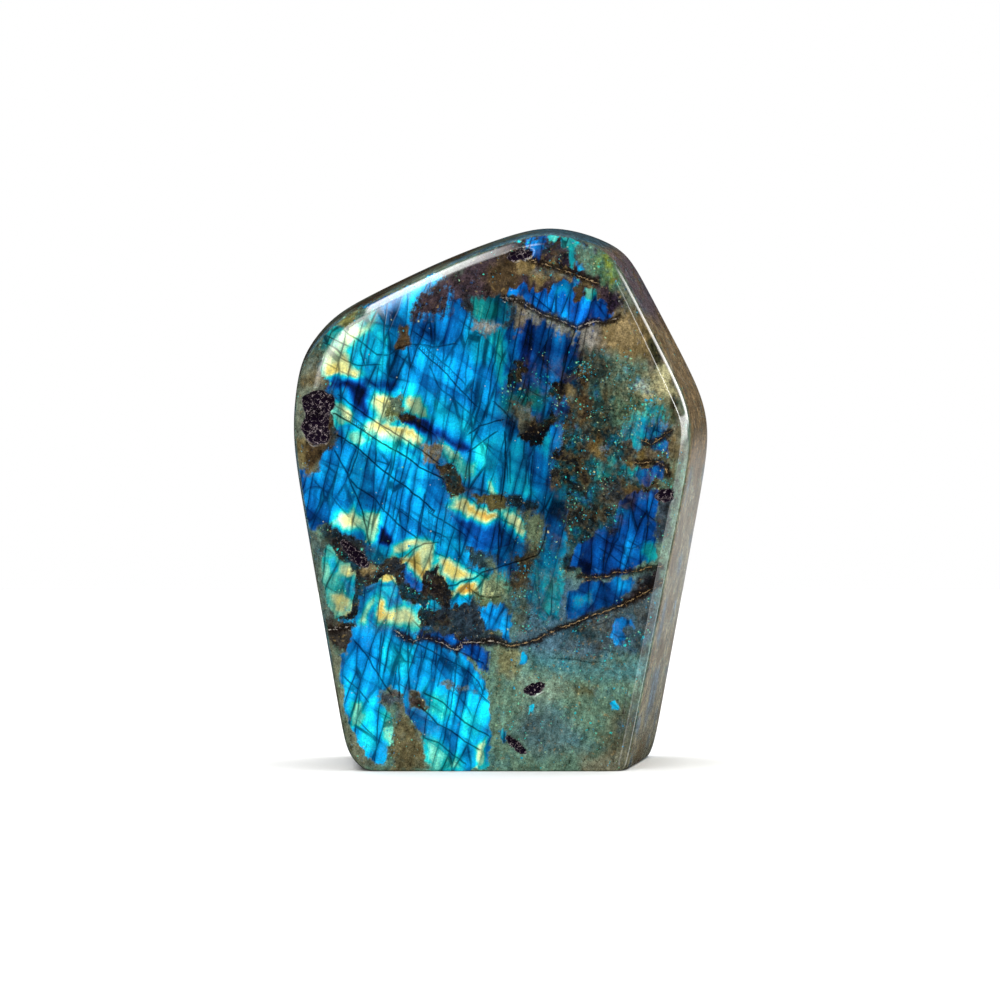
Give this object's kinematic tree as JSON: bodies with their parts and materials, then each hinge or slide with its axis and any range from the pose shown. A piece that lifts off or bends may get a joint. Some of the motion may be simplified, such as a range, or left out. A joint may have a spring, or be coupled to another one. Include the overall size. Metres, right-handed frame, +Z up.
{
  "type": "polished labradorite free-form",
  "caption": "Upright polished labradorite free-form: a thick slab with a flat sawn base, ground facets, rounded edges, blue, cyan and gold flash, and small open pits.",
  "frame": {"origin": "on the flat sawn base, under the middle of the stone's box", "axes": "+Z up towards the crest, -Y out of the broad front face, +X to the right of that face"},
  "size_m": [0.0941, 0.0434, 0.1209],
  "materials": {
    "labradorite": "mirror-polished labradorite feldspar: grey-green to brown body with blue, cyan and yellow-gold flash, dark cleavage lines and rough open pits"
  },
  "bodies": {
    "root": {"stone": "labradorite"}
  },
  "joints": []
}
